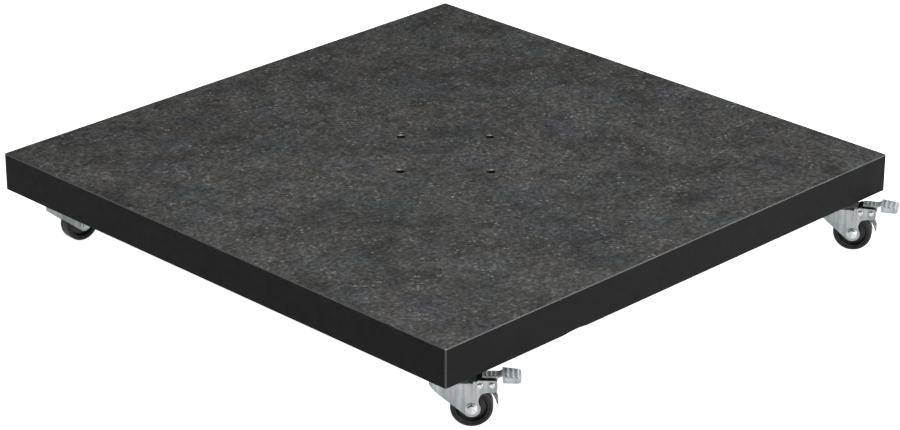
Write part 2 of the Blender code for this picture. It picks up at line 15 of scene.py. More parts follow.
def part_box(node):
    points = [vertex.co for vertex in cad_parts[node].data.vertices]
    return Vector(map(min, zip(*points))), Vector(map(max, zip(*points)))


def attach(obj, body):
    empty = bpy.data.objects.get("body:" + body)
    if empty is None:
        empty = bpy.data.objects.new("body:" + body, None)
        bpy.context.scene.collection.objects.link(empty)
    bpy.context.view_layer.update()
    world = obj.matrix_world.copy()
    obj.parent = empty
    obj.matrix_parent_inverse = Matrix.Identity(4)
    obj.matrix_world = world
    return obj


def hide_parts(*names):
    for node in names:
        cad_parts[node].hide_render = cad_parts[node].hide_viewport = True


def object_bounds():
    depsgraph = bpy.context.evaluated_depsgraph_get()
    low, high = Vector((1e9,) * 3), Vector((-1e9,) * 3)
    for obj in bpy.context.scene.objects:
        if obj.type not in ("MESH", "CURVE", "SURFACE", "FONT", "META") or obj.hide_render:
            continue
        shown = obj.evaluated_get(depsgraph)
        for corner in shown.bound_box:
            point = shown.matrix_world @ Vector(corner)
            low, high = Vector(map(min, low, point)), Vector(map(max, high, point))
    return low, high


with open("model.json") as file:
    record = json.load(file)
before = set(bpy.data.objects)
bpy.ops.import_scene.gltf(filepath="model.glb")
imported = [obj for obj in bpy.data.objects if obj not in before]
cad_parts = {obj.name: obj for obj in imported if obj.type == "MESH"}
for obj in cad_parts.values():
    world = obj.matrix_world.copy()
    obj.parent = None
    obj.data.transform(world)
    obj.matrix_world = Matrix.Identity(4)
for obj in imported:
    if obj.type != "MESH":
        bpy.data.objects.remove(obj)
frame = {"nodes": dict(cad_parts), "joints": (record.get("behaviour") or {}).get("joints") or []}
CAD_LOW, CAD_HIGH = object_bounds()

CORNERS = ("front", "right", "rear", "left")
SIDES = ("right", "rear", "left", "front")
JOINTS = {joint["name"]: joint for joint in frame["joints"]}
SLAB_LOW, SLAB_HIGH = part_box("granite_slab")
GAP = 0.0003

# How far cutters run past what they cut: just past a face, or right through a caster piece
PAST = 0.010
THROUGH = 0.050


def caster_matrix(corner):
    """From the caster's own axes to the frame's."""
    kingpin = JOINTS[f"swivel_{corner}"]["pos_m"]
    side = Vector(JOINTS[f"wheel_roll_{corner}"]["axis"]).normalized()
    up = Vector((0, 0, 1))
    matrix = Matrix((side.cross(up), side, up)).transposed().to_4x4()
    matrix.translation = (kingpin[0], kingpin[1], SLAB_LOW.z)
    return matrix


def joint_spot(name):
    """A joint's place in the caster's side view: (trailing, up)."""
    place = caster_matrix("front").inverted() @ Vector(JOINTS[f"{name}_front"]["pos_m"])
    return place.x, place.z


def caster_box(node):
    """Lowest and highest corner of a front caster's node, in the caster's axes."""
    to_caster = caster_matrix("front").inverted()
    points = [to_caster @ vert.co for vert in frame["nodes"][f"{node}_front"].data.vertices]
    low = Vector([min(point[i] for point in points) for i in range(3)])
    high = Vector([max(point[i] for point in points) for i in range(3)])
    return low, high


AXLE, PEDAL_PIVOT, SHOE_PIVOT = (joint_spot(name) for name in ("wheel_roll", "brake_press", "shoe_swing"))
FORK_LOW, FORK_HIGH = caster_box("fork")
TYRE_LOW, TYRE_HIGH = caster_box("tyre")
CORE_LOW, CORE_HIGH = caster_box("wheel_core")
PLATE_LOW, PLATE_HIGH = caster_box("top_plate")
KINGPIN_LOW, KINGPIN_HIGH = caster_box("kingpin")
PEDAL_LOW, PEDAL_HIGH = caster_box("brake_pedal")
SHOE_LOW, SHOE_HIGH = caster_box("brake_shoe")
RACE_LOW, RACE_HIGH = caster_box("ball_race")


# Mesh tools

def polar(radius, degrees, centre=(0.0, 0.0)):
    angle = math.radians(degrees)
    return (centre[0] + radius * math.cos(angle), centre[1] + radius * math.sin(angle))


def arc(radius, start, end, steps, centre=(0.0, 0.0)):
    return [polar(radius, start + (end - start) * i / steps, centre) for i in range(steps + 1)]


def object_from(bm, name="piece"):
    bmesh.ops.recalc_face_normals(bm, faces=bm.faces)
    mesh = bpy.data.meshes.new(name)
    bm.to_mesh(mesh)
    bm.free()
    obj = bpy.data.objects.new(name, mesh)
    bpy.context.scene.collection.objects.link(obj)
    return obj


def loft(rings, closed=False):
    """Skin a stack of equal rings of 3D points; the ends are capped, or joined when closed."""
    bm = bmesh.new()
    loops = [[bm.verts.new(point) for point in ring] for ring in rings]
    count = len(loops[0])
    for lower, upper in zip(loops, loops[1:] + (loops[:1] if closed else [])):
        for i in range(count):
            j = (i + 1) % count
            bm.faces.new((lower[i], lower[j], upper[j], upper[i]))
    if not closed:
        bm.faces.new(loops[0])
        bm.faces.new(loops[-1])
    return object_from(bm)


def prism(outline, low, high, across="Y"):
    place = {"Z": lambda u, v, w: (u, v, w), "Y": lambda u, v, w: (u, w, v)}[across]
    return loft([[place(u, v, level) for u, v in outline] for level in (low, high)])


def turned(profile, segments, along="Z", centre=(0.0, 0.0)):
    """A profile of (radius, height) turned about Z or Y; closed, or starting and ending on the axis."""
    on_axis = profile[0][0] == 0
    inner = profile[1:-1] if on_axis else profile
    bm = bmesh.new()
    rings = []
    for radius, height in inner:
        ring = []
        for i in range(segments):
            x, y = polar(radius, 360 * i / segments)
            point = (x, y, height) if along == "Z" else (x, height, y)
            shift = (centre[0], centre[1], 0) if along == "Z" else (centre[0], 0, centre[1])
            ring.append(bm.verts.new([a + b for a, b in zip(point, shift)]))
        rings.append(ring)
    pairs = list(zip(rings, rings[1:])) + ([] if on_axis else [(rings[-1], rings[0])])
    for lower, upper in pairs:
        for i in range(segments):
            j = (i + 1) % segments
            bm.faces.new((lower[i], lower[j], upper[j], upper[i]))
    if on_axis:
        for ring, height in ((rings[0], profile[0][1]), (rings[-1], profile[-1][1])):
            middle = (centre[0], centre[1], height) if along == "Z" else (centre[0], height, centre[1])
            tip = bm.verts.new(middle)
            for i in range(segments):
                bm.faces.new((ring[i], ring[(i + 1) % segments], tip))
    return object_from(bm)


def rod(radius, low, high, segments=32, along="Z", centre=(0.0, 0.0)):
    return turned([(0, low), (radius, low), (radius, high), (0, high)], segments, along, centre)


def settled(obj):
    """The same object with its modifiers turned into mesh."""
    graph = bpy.context.evaluated_depsgraph_get()
    mesh = bpy.data.meshes.new_from_object(obj.evaluated_get(graph))
    obj.modifiers.clear()
    obj.data = mesh
    return obj


def combined(base, tools, operation):
    for tool in tools:
        modifier = base.modifiers.new(operation.lower(), "BOOLEAN")
        modifier.operation = operation
        modifier.solver = "EXACT"
        modifier.object = tool
    settled(base)
    for tool in tools:
        bpy.data.objects.remove(tool, do_unlink=True)
    return base


def add(base, *tools):
    return combined(base, tools, "UNION")


def cut(base, *tools):
    return combined(base, tools, "DIFFERENCE")


def common(base, tool):
    return combined(base, [tool], "INTERSECT")


def softened(obj, width, segments=2, angle=35):
    """Round every edge sharper than the angle."""
    bevel = obj.modifiers.new("soften", "BEVEL")
    bevel.width = width
    bevel.segments = segments
    bevel.limit_method = "ANGLE"
    bevel.angle_limit = math.radians(angle)
    bevel.use_clamp_overlap = True
    return settled(obj)


def shaded(obj, angle=40):
    obj.data.shade_smooth()
    obj.data.set_sharp_from_angle(angle=math.radians(angle))
    even = obj.modifiers.new("even_shading", "WEIGHTED_NORMAL")
    even.keep_sharp = True
    return obj


def twin(pattern, name):
    """Another object on the pattern's mesh, shaded as evenly."""
    copy = bpy.data.objects.new(name, pattern.data)
    copy.modifiers.new("even_shading", "WEIGHTED_NORMAL").keep_sharp = True
    bpy.context.scene.collection.objects.link(copy)
    return copy


def moved(points, shift):
    return [(x + shift[0], y + shift[1]) for x, y in points]


def rounded(points, radius, steps=4, open_ends=False):
    """An outline with each corner replaced by an arc-like curve of about that radius."""
    result = []
    count = len(points)
    for i, corner in enumerate(points):
        if open_ends and i in (0, count - 1):
            result.append(corner)
            continue
        here = Vector(corner)
        before, after = Vector(points[i - 1]), Vector(points[(i + 1) % count])
        reach = min(radius, (before - here).length * 0.49, (after - here).length * 0.49)
        start = here + (before - here).normalized() * reach
        end = here + (after - here).normalized() * reach
        for k in range(steps + 1):
            t = k / steps
            point = start * (1 - t) ** 2 + here * 2 * t * (1 - t) + end * t ** 2
            result.append((point.x, point.y))
    return result


# Materials

class Look:
    """A procedural material, with short calls for its nodes."""

    def __init__(self, name):
        self.material = bpy.data.materials.new(name)
        self.material.use_nodes = True
        self.tree = self.material.node_tree
        self.shader = self.tree.nodes["Principled BSDF"]
        self.place = self.make("ShaderNodeTexCoord").outputs["Object"]

    def make(self, kind, inputs=None, **settings):
        node = self.tree.nodes.new(kind)
        for key, value in settings.items():
            setattr(node, key, value)
        for key, value in (inputs or {}).items():
            self.feed(node.inputs[key], value)
        return node

    def feed(self, socket, value):
        if isinstance(value, bpy.types.NodeSocket):
            self.tree.links.new(value, socket)
        else:
            socket.default_value = value

    def scaled(self, x, y, z):
        """The object's coordinates stretched along its axes, for directional grain."""
        mapping = self.make("ShaderNodeMapping", {"Vector": self.place, "Scale": (x, y, z)})
        return mapping.outputs["Vector"]

    def noise(self, scale, detail=3.0, roughness=0.55, distortion=0.0, place=None):
        node = self.make("ShaderNodeTexNoise", {"Vector": place or self.place, "Scale": scale,
                                                "Detail": detail, "Roughness": roughness,
                                                "Distortion": distortion})
        return node.outputs["Fac"]

    def cells(self, scale):
        node = self.make("ShaderNodeTexVoronoi", {"Vector": self.place, "Scale": scale})
        return node.outputs["Distance"]

    def ramp(self, factor, *stops):
        """Stops are (position, grey or colour)."""
        node = self.make("ShaderNodeValToRGB", {"Fac": factor})
        elements = node.color_ramp.elements
        while len(elements) < len(stops):
            elements.new(0.5)
        for element, (position, value) in zip(elements, stops):
            element.position = position
            element.color = (*value, 1) if hasattr(value, "__len__") else (value, value, value, 1)
        return node.outputs["Color"]

    def mix(self, factor, one, two, blend="MIX"):
        node = self.make("ShaderNodeMix", data_type="RGBA", blend_type=blend)
        self.feed(node.inputs[0], factor)
        for socket, value in ((node.inputs[6], one), (node.inputs[7], two)):
            self.feed(socket, (*value, 1) if isinstance(value, tuple) and len(value) == 3 else value)
        return node.outputs[2]

    def product(self, one, two):
        node = self.make("ShaderNodeMath", operation="MULTIPLY")
        self.feed(node.inputs[0], one)
        self.feed(node.inputs[1], two)
        return node.outputs[0]

    def finish(self, colour, roughness, bumps=(), specular=0.5, metallic=0.0):
        """Bumps are (height, strength, depth in metres), laid one on another."""
        self.feed(self.shader.inputs["Base Color"], (*colour, 1) if isinstance(colour, tuple) else colour)
        self.feed(self.shader.inputs["Roughness"], roughness)
        self.shader.inputs["Specular IOR Level"].default_value = specular
        self.shader.inputs["Metallic"].default_value = metallic
        normal = None
        for height, strength, depth in bumps:
            inputs = {"Height": height, "Strength": strength, "Distance": depth}
            if normal:
                inputs["Normal"] = normal
            normal = self.make("ShaderNodeBump", inputs).outputs["Normal"]
        if normal:
            self.feed(self.shader.inputs["Normal"], normal)
        return self.material


TOP_LEVEL = 0.046


def grey(level, tint=(0.0, 0.0, 0.0)):
    return tuple(level + shift for shift in tint)


def flamed_granite():
    """The slab's top: dark stone roughened by flame and brush, with pale feldspar flecks."""
    look = Look("flamed_granite")
    patches = look.ramp(look.noise(24, 3, 0.55, 0.3), (0.34, 0.68), (0.50, 1.0), (0.68, 1.14))
    blotches = look.ramp(look.noise(75, 4, 0.65, 0.5), (0.36, 0.74), (0.50, 1.0), (0.66, 1.30))
    grains = look.ramp(look.noise(190, 4, 0.65, 0.4), (0.38, 0.55), (0.51, 1.0), (0.66, 1.85))
    base = look.mix(1.0, patches, blotches, "MULTIPLY")
    base = look.mix(1.0, base, grains, "MULTIPLY")
    base = look.mix(1.0, base, grey(TOP_LEVEL), "MULTIPLY")
    wide = look.ramp(look.noise(6.5, 4, 0.6, 0.6), (0.34, 0.74), (0.50, 1.0), (0.66, 1.22))
    base = look.mix(1.0, base, wide, "MULTIPLY")
    spots = look.product(look.ramp(look.cells(34), (0.12, 0.45), (0.34, 0.0)),
                         look.ramp(look.noise(11, 2, 0.5), (0.50, 0.0), (0.60, 1.0)))
    base = look.mix(spots, base, grey(TOP_LEVEL * 0.35))
    flecks = look.product(look.ramp(look.cells(120), (0.10, 1.0), (0.30, 0.0)),
                          look.ramp(look.noise(30, 2, 0.5), (0.50, 0.0), (0.60, 0.85)))
    base = look.mix(flecks, base, grey(TOP_LEVEL * 4.0, (0.0, 0.003, 0.003)))
    tint = look.ramp(look.noise(8, 3, 0.6), (0.36, (0.90, 1.0, 1.05)), (0.46, (1.0, 1.0, 0.97)),
                     (0.56, (1.03, 1.0, 0.93)), (0.66, (0.97, 0.97, 1.10)))
    base = look.mix(1.0, base, tint, "MULTIPLY")
    roughness = look.ramp(look.noise(160, 3), (0.35, 0.50), (0.65, 0.72))
    bumps = ((look.noise(80, 4, 0.6), 0.6, 0.0012), (look.noise(300, 3, 0.6), 0.6, 0.0006))
    return look.finish(base, roughness, bumps, specular=0.22)


def honed_granite(name, level, specular=0.10):
    """Sawn and honed smooth stone, almost black, with a faint fine grain."""
    look = Look(name)
    fine = look.ramp(look.noise(420, 3, 0.6), (0.35, 0.82), (0.65, 1.2))
    wide = look.ramp(look.noise(22, 3, 0.55), (0.35, 0.9), (0.65, 1.12))
    base = look.mix(1.0, fine, wide, "MULTIPLY")
    base = look.mix(1.0, base, grey(level), "MULTIPLY")
    roughness = look.ramp(look.noise(90, 3), (0.35, 0.40), (0.65, 0.52))
    return look.finish(base, roughness, ((look.noise(500, 2), 0.12, 0.0002),), specular=specular)


def zinc(name, level, tint=(-0.010, 0.002, 0.006), rough=(0.24, 0.38), band=0.18, metallic=1.0):
    """Zinc plating on pressed sheet: slight clouding, soft upright streaks of painted reflection and faint
    drawing lines.
    """
    look = Look(name)
    clouds = look.ramp(look.noise(60, 3), (0.3, grey(level * 0.86, tint)), (0.7, grey(level * 1.10, tint)))
    hue = look.ramp(look.noise(28, 2), (0.35, (0.95, 0.99, 1.0)), (0.65, (1.0, 1.0, 0.96)))
    base = look.mix(1.0, clouds, hue, "MULTIPLY")
    # Upright light and dark streaks multiplied into the colour: painted reflection of a curved sheet.
    upright = look.noise(150, 2, 0.5, 0.0, look.scaled(1, 1, 0.05))
    painted_reflection_streaks = look.ramp(upright, (0.36, 1 - band), (0.50, 1.0), (0.64, 1 + band * 1.6))
    base = look.mix(1.0, base, painted_reflection_streaks, "MULTIPLY")
    drawn = look.noise(90, 3, 0.6, 0.0, look.scaled(8, 8, 0.4))
    roughness = look.ramp(look.noise(110, 3), (0.3, rough[0]), (0.7, rough[1]))
    bumps = ((drawn, 0.25, 0.00012), (look.noise(900, 2), 0.08, 0.00006))
    return look.finish(base, roughness, bumps, metallic=metallic)


def steel(name, level, rough):
    """Plain turned steel with a thin dull film."""
    look = Look(name)
    film = look.ramp(look.noise(130, 4), (0.3, grey(level * 0.7, (0.01, 0.005, 0))),
                     (0.7, grey(level * 1.15)))
    roughness = look.ramp(look.noise(260, 3), (0.3, rough * 0.75), (0.7, rough * 1.25))
    return look.finish(film, roughness, ((look.noise(700, 2), 0.15, 0.0001),), metallic=1.0)


def rubber():
    look = Look("tyre_rubber")
    dust = look.ramp(look.noise(95, 4), (0.35, grey(0.006)), (0.7, grey(0.014)))
    roughness = look.ramp(look.noise(300, 3), (0.3, 0.42), (0.7, 0.6))
    return look.finish(dust, roughness, ((look.noise(800, 3), 0.25, 0.0001),), specular=0.25)


def moulded_plastic():
    look = Look("moulded_plastic")
    base = look.ramp(look.noise(70, 3), (0.3, grey(0.012)), (0.7, grey(0.022)))
    roughness = look.ramp(look.noise(200, 3), (0.3, 0.34), (0.7, 0.5))
    return look.finish(base, roughness, ((look.noise(1400, 2), 0.2, 0.00005),), specular=0.3)


# The slab

ARRIS = 0.0015
CORNER_RADIUS = 0.0025
LOWER_ARRIS = 0.0008
ARRIS_STEPS = 5
SIDE_SHARES = (0.3, 0.5, 0.7)
EDGE_SPACING = 0.004
CORNER_STEPS = 6
SLEEVE_FIT = GAP * 0.4
SLEEVE_HOLE_EXTRA_DEPTH = 0.006
BOLT_HOLE_EXTRA_DEPTH = 0.002
ABOVE = 0.001
CHIP_MIDDLE = 0.215
CHIP_HALF_LENGTH = 0.018
CHIP_DEPTH = 0.0030
FRONT_BAND = 0.010


def slab_outline():
    """The slab's rounded square, with points evenly spaced along its sides."""
    half = SLAB_HIGH.x
    straight = 2 * (half - CORNER_RADIUS)
    count = round(straight / EDGE_SPACING)
    points = []
    for quarter in range(4):
        turn = Matrix.Rotation(math.radians(90 * quarter), 2)
        for i in range(count):
            along = -straight / 2 + straight * i / count
            points.append(turn @ Vector((along, -half)))
        middle = Vector((straight / 2, -straight / 2))
        for i in range(CORNER_STEPS):
            x, y = polar(CORNER_RADIUS, -90 + 90 * i / CORNER_STEPS)
            points.append(turn @ (middle + Vector((x, y))))
    return points


def arris_radius(point, top):
    """How far the broken edge reaches at a place: hand-dressed on top, with one chip below."""
    wave = noise.noise(Vector((point.x, point.y, 3.7 if top else 9.1)) * 45)
    fine = noise.noise(Vector((point.x, point.y, 1.3 if top else 5.9)) * 260)
    radius = (ARRIS if top else LOWER_ARRIS) * (0.86 + 0.14 * wave + 0.12 * fine)
    on_front = point.y < SLAB_LOW.y + FRONT_BAND
    if on_front and not top:
        away = abs(point.x - (SLAB_LOW.x + CHIP_MIDDLE)) / CHIP_HALF_LENGTH
        if away < 1:
            ragged = 0.8 + 0.35 * noise.noise(Vector((point.x * 320, 0.5, 2.2)))
            radius += CHIP_DEPTH * (1 - away ** 3) * ragged
    return radius


TOP, HONED, ARRIS_GROUND_AND_HIGHLIGHT, SAWN, CORNER_GROUND_AND_HIGHLIGHT, CORNER_PAINTED_HIGHLIGHT = range(6)


def stone_finish(face):
    """Which of the slab's finishes a face has, by where it looks and where it is; the arris and corner
    finishes carry painted highlights.
    """
    up, reach = face.normal.z, max(abs(face.center.x), abs(face.center.y))
    at_edge = reach > SLAB_HIGH.x - CORNER_RADIUS
    at_corner = at_edge and min(abs(face.normal.x), abs(face.normal.y)) > 0.2
    if up > 0.97 and reach < SLAB_HIGH.x - ARRIS / 2:
        return TOP
    # Arris faces get a look lighter than the sides: partly paler ground stone, partly a painted highlight.
    if up > 0.15 and at_edge:
        # Where the top arris turns round a corner the face gets a bright look: painted highlight.
        return CORNER_PAINTED_HIGHLIGHT if at_corner and up < 0.9 else ARRIS_GROUND_AND_HIGHLIGHT
    if up < -0.97:
        return SAWN
    # Upright corner faces get a lighter look than the sides: partly ground stone, partly a painted highlight.
    return CORNER_GROUND_AND_HIGHLIGHT if at_corner and face.normal.xy.length > 0.9 else HONED


def stone_slab():
    """A loft up the slab's height whose top and bottom arrises are rounded by hand."""
    outline = slab_outline()
    limit = SLAB_HIGH.x - CORNER_RADIUS
    rings = []

    def ring(top, degrees):
        points = []
        for point in outline:
            radius = arris_radius(point, top)
            inset = radius * (1 - math.cos(math.radians(degrees)))
            rise = radius * (1 - math.sin(math.radians(degrees)))
            core = Vector((max(-limit, min(limit, point.x)), max(-limit, min(limit, point.y))))
            step = (core - point).normalized() * inset
            level = SLAB_HIGH.z - rise if top else SLAB_LOW.z + rise
            points.append((point.x + step.x, point.y + step.y, level))
        return points

    for i in range(ARRIS_STEPS + 1):
        rings.append(ring(False, 90 - 90 * i / ARRIS_STEPS))
    for share in SIDE_SHARES:
        level = SLAB_LOW.z + (SLAB_HIGH.z - SLAB_LOW.z) * share
        rings.append([(point.x, point.y, level) for point in outline])
    for i in range(ARRIS_STEPS + 1):
        rings.append(ring(True, 90 * i / ARRIS_STEPS))
    slab = loft(rings)
    holes = []
    for side in SIDES:
        low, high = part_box(f"mast_sleeve_{side}")
        middle = (low + high) / 2
        radius = (high.x - low.x) / 2 + SLEEVE_FIT
        holes.append(rod(radius, low.z - SLEEVE_HOLE_EXTRA_DEPTH, ABOVE, 48, centre=(middle.x, middle.y)))
    for corner in CORNERS:
        for x, y in plate_bolt_places(corner):
            holes.append(rod(BOLT_DIAMETER / 2 + GAP, SLAB_LOW.z - PAST,
                             SLAB_LOW.z + BOLT_GRIP + BOLT_HOLE_EXTRA_DEPTH, 20, centre=(x, y)))
    slab = cut(slab, *holes)
    # The arris, upright corner and top corner looks are lighter than the honed sides: painted highlights, in
    # part paler ground stone for the arris and upright corners.
    for look in (flamed_granite(), honed_granite("honed_granite", 0.0046, 0.040),
                 honed_granite("ground_arris_and_painted_highlight", 0.075, 0.3), honed_granite("sawn_granite", 0.022),
                 honed_granite("ground_corner_and_painted_highlight", 0.036, 0.25), honed_granite("corner_painted_highlight", 0.30, 0.4)):
        slab.data.materials.append(look)
    for face in slab.data.polygons:
        face.material_index = stone_finish(face)
    shaded(slab, 30)
    slab.name = slab.data.name = "stone_slab"
    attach(slab, "base")
    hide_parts("granite_slab")


# Threaded sleeves

THREAD_PITCH = 0.00175
THREAD_DEPTH = 0.00085
THREAD_TOP = -0.0010
THREAD_SHADE_TOP = -0.0009
THREAD_END_ABOVE_FOOT = 0.001
THREAD_STEPS_PER_TURN = 6
THREAD_FACETS = 48
SLEEVE_BORE_RADIUS = 0.0051
SLEEVE_FOOT_CHAMFER = 0.0003
SLEEVE_TOP_CHAMFER = 0.0001
MOUTH_REACH, MOUTH_THROAT, MOUTH_DEPTH = 0.0012, 0.0005, 0.0008
RUN_IN_DEPTH = 0.0006
FOOT_RELIEF = 0.0004


def threaded_sleeve():
    """A steel tube with a cut thread: the bore's radius runs round and down as a helix."""
    low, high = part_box("mast_sleeve_right")
    outer, bore = (high.x - low.x) / 2, SLEEVE_BORE_RADIUS
    turns = (high.z - low.z + THREAD_TOP - THREAD_END_ABOVE_FOOT) / THREAD_PITCH
    profile = ((outer - SLEEVE_FOOT_CHAMFER, low.z), (outer, low.z + SLEEVE_FOOT_CHAMFER),
               (outer, -SLEEVE_TOP_CHAMFER), (outer - SLEEVE_TOP_CHAMFER, 0.0),
               (bore + MOUTH_REACH, 0.0), (bore + MOUTH_THROAT, -MOUTH_DEPTH))
    rings = []

    def ring(radius_at, height):
        rings.append([(*polar(radius_at(i), 360 * i / THREAD_FACETS), height) for i in range(THREAD_FACETS)])

    for radius, height in profile:
        ring(lambda i: radius, height)
    for step in range(int(turns * THREAD_STEPS_PER_TURN) + 1):
        height = THREAD_TOP - step * THREAD_PITCH / THREAD_STEPS_PER_TURN
        fade = min(1.0, step / THREAD_STEPS_PER_TURN)

        def thread_radius(i):
            phase = (height / THREAD_PITCH + i / THREAD_FACETS) % 1
            groove = THREAD_DEPTH * abs(2 * phase - 1)
            return bore + groove * fade + RUN_IN_DEPTH * (1 - fade)

        ring(thread_radius, height)
    ring(lambda i: bore + FOOT_RELIEF, low.z)
    return loft(rings, closed=True)


def threaded_sleeves():
    pattern = shaded(threaded_sleeve(), 50)
    pattern.data.materials.append(steel("sleeve_steel", 0.16, 0.5))
    # A near-black steel look for the thread below the mouth: painted shade down the bore.
    pattern.data.materials.append(steel("thread_painted_shade", 0.02, 0.6))
    for face in pattern.data.polygons:
        face.material_index = 1 if face.center.z < THREAD_SHADE_TOP else 0
    for side in SIDES:
        low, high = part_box(f"mast_sleeve_{side}")
        copy = twin(pattern, f"threaded_sleeve_{side}")
        middle = (low + high) / 2
        copy.location = (middle.x, middle.y, 0)
        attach(copy, "base")
        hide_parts(f"mast_sleeve_{side}")
    bpy.data.objects.remove(pattern, do_unlink=True)


# Caster pieces, each made in the caster's axes

BOLT_DIAMETER = 0.006
BOLT_PITCH = 0.048
BOLT_GRIP = 0.014
HEX_ACROSS = 0.010
EDGE_SOFTNESS = 0.0004
PLATE_HALF = 0.030
PLATE_CORNER = 0.0085
PLATE_THICKNESS = 0.0025
PLATE_BOSS_RADIUS = 0.0123
PLATE_BOSS_ROUND = 0.0005
PLATE_RECESS_RADIUS, PLATE_RECESS_DEPTH = 0.0083, 0.0023
KINGPIN_BORE, AXLE_BORE, RIVET_BORE = 0.0053, 0.0033, 0.0023
KINGPIN_HEAD_RADIUS, KINGPIN_RADIUS = 0.008, 0.005
KINGPIN_HEAD_HEIGHT, KINGPIN_RIVET_HEIGHT, KINGPIN_DOME_HEIGHT = 0.002, 0.0045, 0.003
BALL_SHARE, BALL_SPACING = 0.96, 2.15
CAGE_REACH, CAGE_HALF_HEIGHT = 0.62, 0.34
SHEET = 0.002
CROWN_TOP = FORK_HIGH.z
CROWN_HEIGHT = 0.010
CROWN_LIP = 0.0012
CROWN_STEPS = ((0.0030, 0.0004), (0.0012, 0.0034), (0.0002, 0.0056), (0.0, 0.0070))
ROOF_TOP = CROWN_TOP - CROWN_HEIGHT
ROOF_BEND = 0.0032
NOSE_REACH = 0.0195
NOSE_DEPTH = 0.0071
BOSS_RADIUS = AXLE[1] - FORK_LOW.z
LEG_OUTSIDE = CORE_HIGH.y + 0.0025
LEG_INSIDE = LEG_OUTSIDE - SHEET
WAIST = 0.0027
EAR_REACH, EAR_RISE, EAR_DROP = 0.0065, 0.0062, 0.0085
EAR_ROOT, EAR_SWEEP, EAR_SLOT = 0.004, 0.0032, 0.009
SIDE_ROUND = 0.0042
KNUCKLE_RADIUS = 0.0036
WHEEL_RADIUS = (TYRE_HIGH.z - TYRE_LOW.z) / 2
TYRE_DEPTH, TYRE_SHOULDER, TYRE_BEAD = 0.0047, 0.0026, 0.0007
CORE_DEPTH, RIM_LIP = 0.0046, 0.0006
AXLE_RADIUS, AXLE_END_CHAMFER = 0.003, 0.0006
AXLE_NUT_BORE, AXLE_SLEEVE_RADIUS = 0.0032, 0.0040
FLANGE_RADIUS, FLANGE_HEIGHT = 0.0070, 0.0010
HEX_CHAMFER, HEX_FLAT_SHARE = 0.0009, 0.97
RIVET_HEAD_RADIUS, RIVET_HEAD_EDGE, RIVET_RADIUS = 0.0035, 0.0003, 0.0020

# The brake pedal: its neck from the rivet, the pad's plate, ribs and turned-down edge
NECK_BACK, NECK_RISE, NECK_HALF = 0.011, 0.0078, 0.008
NECK_BEND, PAD_START = 0.009, 0.012
NECK_RIDGES, RIDGE_RADIUS, RIDGE_SINK, RIDGE_INSET = (0.0065, 0.0015, -0.0035), 0.0012, 0.0004, 0.002
PEDAL_SHEET, PEDAL_SOFTNESS = 0.0015, 0.00035
PAD_SLOPE, PAD_LENGTH, PAD_STEP_RISE, PAD_CORNER = 7.0, 0.022, 0.0018, 0.006
PAD_FLANGE_DEPTH, PAD_FLANGE_LEAN, PAD_END_SHARE = 0.0058, 0.0010, 0.6
RIB_SHARES, RIB_RADIUS, RIB_INSET = (0.24, 0.51, 0.78), 0.0019, 0.0030
CHEEK_RADIUS, CHEEK_FRONT, CHEEK_BACK_INSET = 0.0045, 0.008, 0.002
TRIM = 0.0001

# The brake shoe: a tongue round the tread between two headings, in degrees round the axle
SHOE_SHEET, SHOE_GAP = 0.0018, 0.0044
SHOE_START, SHOE_TIP = 75.2, 9.0
MARK_START, MARK_END, MARK_SHARE = 58, 20, 0.32
MARK_RISE, MARK_SINK = 0.0007, 0.0005

# The plate bolts and their washers; each head has come to rest at its own turn
BOLT_HEAD_HEIGHT, BOLT_OVERLAP, SEAT_GAP = 0.004, 0.001, 0.0001
WASHER_RADIUS, WASHER_BORE, WASHER_THICKNESS, WASHER_CHAMFER = 0.0060, 0.0031, 0.0012, 0.0002
TURN_PER_BOLT, TURN_PER_CASTER = 37, 11


def plate_bolt_places(corner):
    kingpin = JOINTS[f"swivel_{corner}"]["pos_m"]
    half = BOLT_PITCH / 2
    return [(kingpin[0] + x * half, kingpin[1] + y * half) for x in (-1, 1) for y in (-1, 1)]


UPRIGHT = 0.15


def copies(pattern, name, body, node, look, square=False, side_look=None):
    """Set a finished caster piece under every corner; a square piece keeps to the slab's axes."""
    pattern.data.materials.clear()
    pattern.data.materials.append(look)
    # With a side look, faces turned up keep the main look and all others take the side look: a top lighter by
    # facing, painted highlight where used.
    if side_look:
        pattern.data.materials.append(side_look)
        for face in pattern.data.polygons:
            face.material_index = 1 if face.normal.z < UPRIGHT else 0
    for corner in CORNERS:
        copy = twin(pattern, f"{name}_{corner}")
        matrix = caster_matrix(corner)
        copy.matrix_world = Matrix.Translation(matrix.translation) if square else matrix
        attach(copy, body if body == "base" else f"{body}_{corner}")
        if node:
            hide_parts(f"{node}_{corner}")
    bpy.data.objects.remove(pattern, do_unlink=True)


def rounded_square(half, radius, steps):
    return rounded([(half, half), (-half, half), (-half, -half), (half, -half)], radius, steps)


def top_plate():
    top, underside = -GAP, -GAP - PLATE_THICKNESS
    plate = prism(rounded_square(PLATE_HALF, PLATE_CORNER, 8), underside, top, "Z")
    plate = softened(plate, EDGE_SOFTNESS)
    end, radius, bend = PLATE_LOW.z, PLATE_BOSS_RADIUS, PLATE_BOSS_ROUND
    boss = turned([(0, end), (radius - bend, end), (radius, end + bend), (radius, underside - EDGE_SOFTNESS),
                   (radius + 2 * bend, underside + EDGE_SOFTNESS), (radius + 2 * bend, top - GAP),
                   (0, top - GAP)], 64)
    plate = add(plate, boss)
    tools = [rod(PLATE_RECESS_RADIUS, top - PLATE_RECESS_DEPTH, PAST, 48),
             rod(KINGPIN_BORE, -THROUGH, THROUGH, 32)]
    half = BOLT_PITCH / 2
    tools += [rod(BOLT_DIAMETER / 2 + GAP, -THROUGH, THROUGH, 24, centre=(x * half, y * half))
              for x in (-1, 1) for y in (-1, 1)]
    return shaded(cut(plate, *tools))


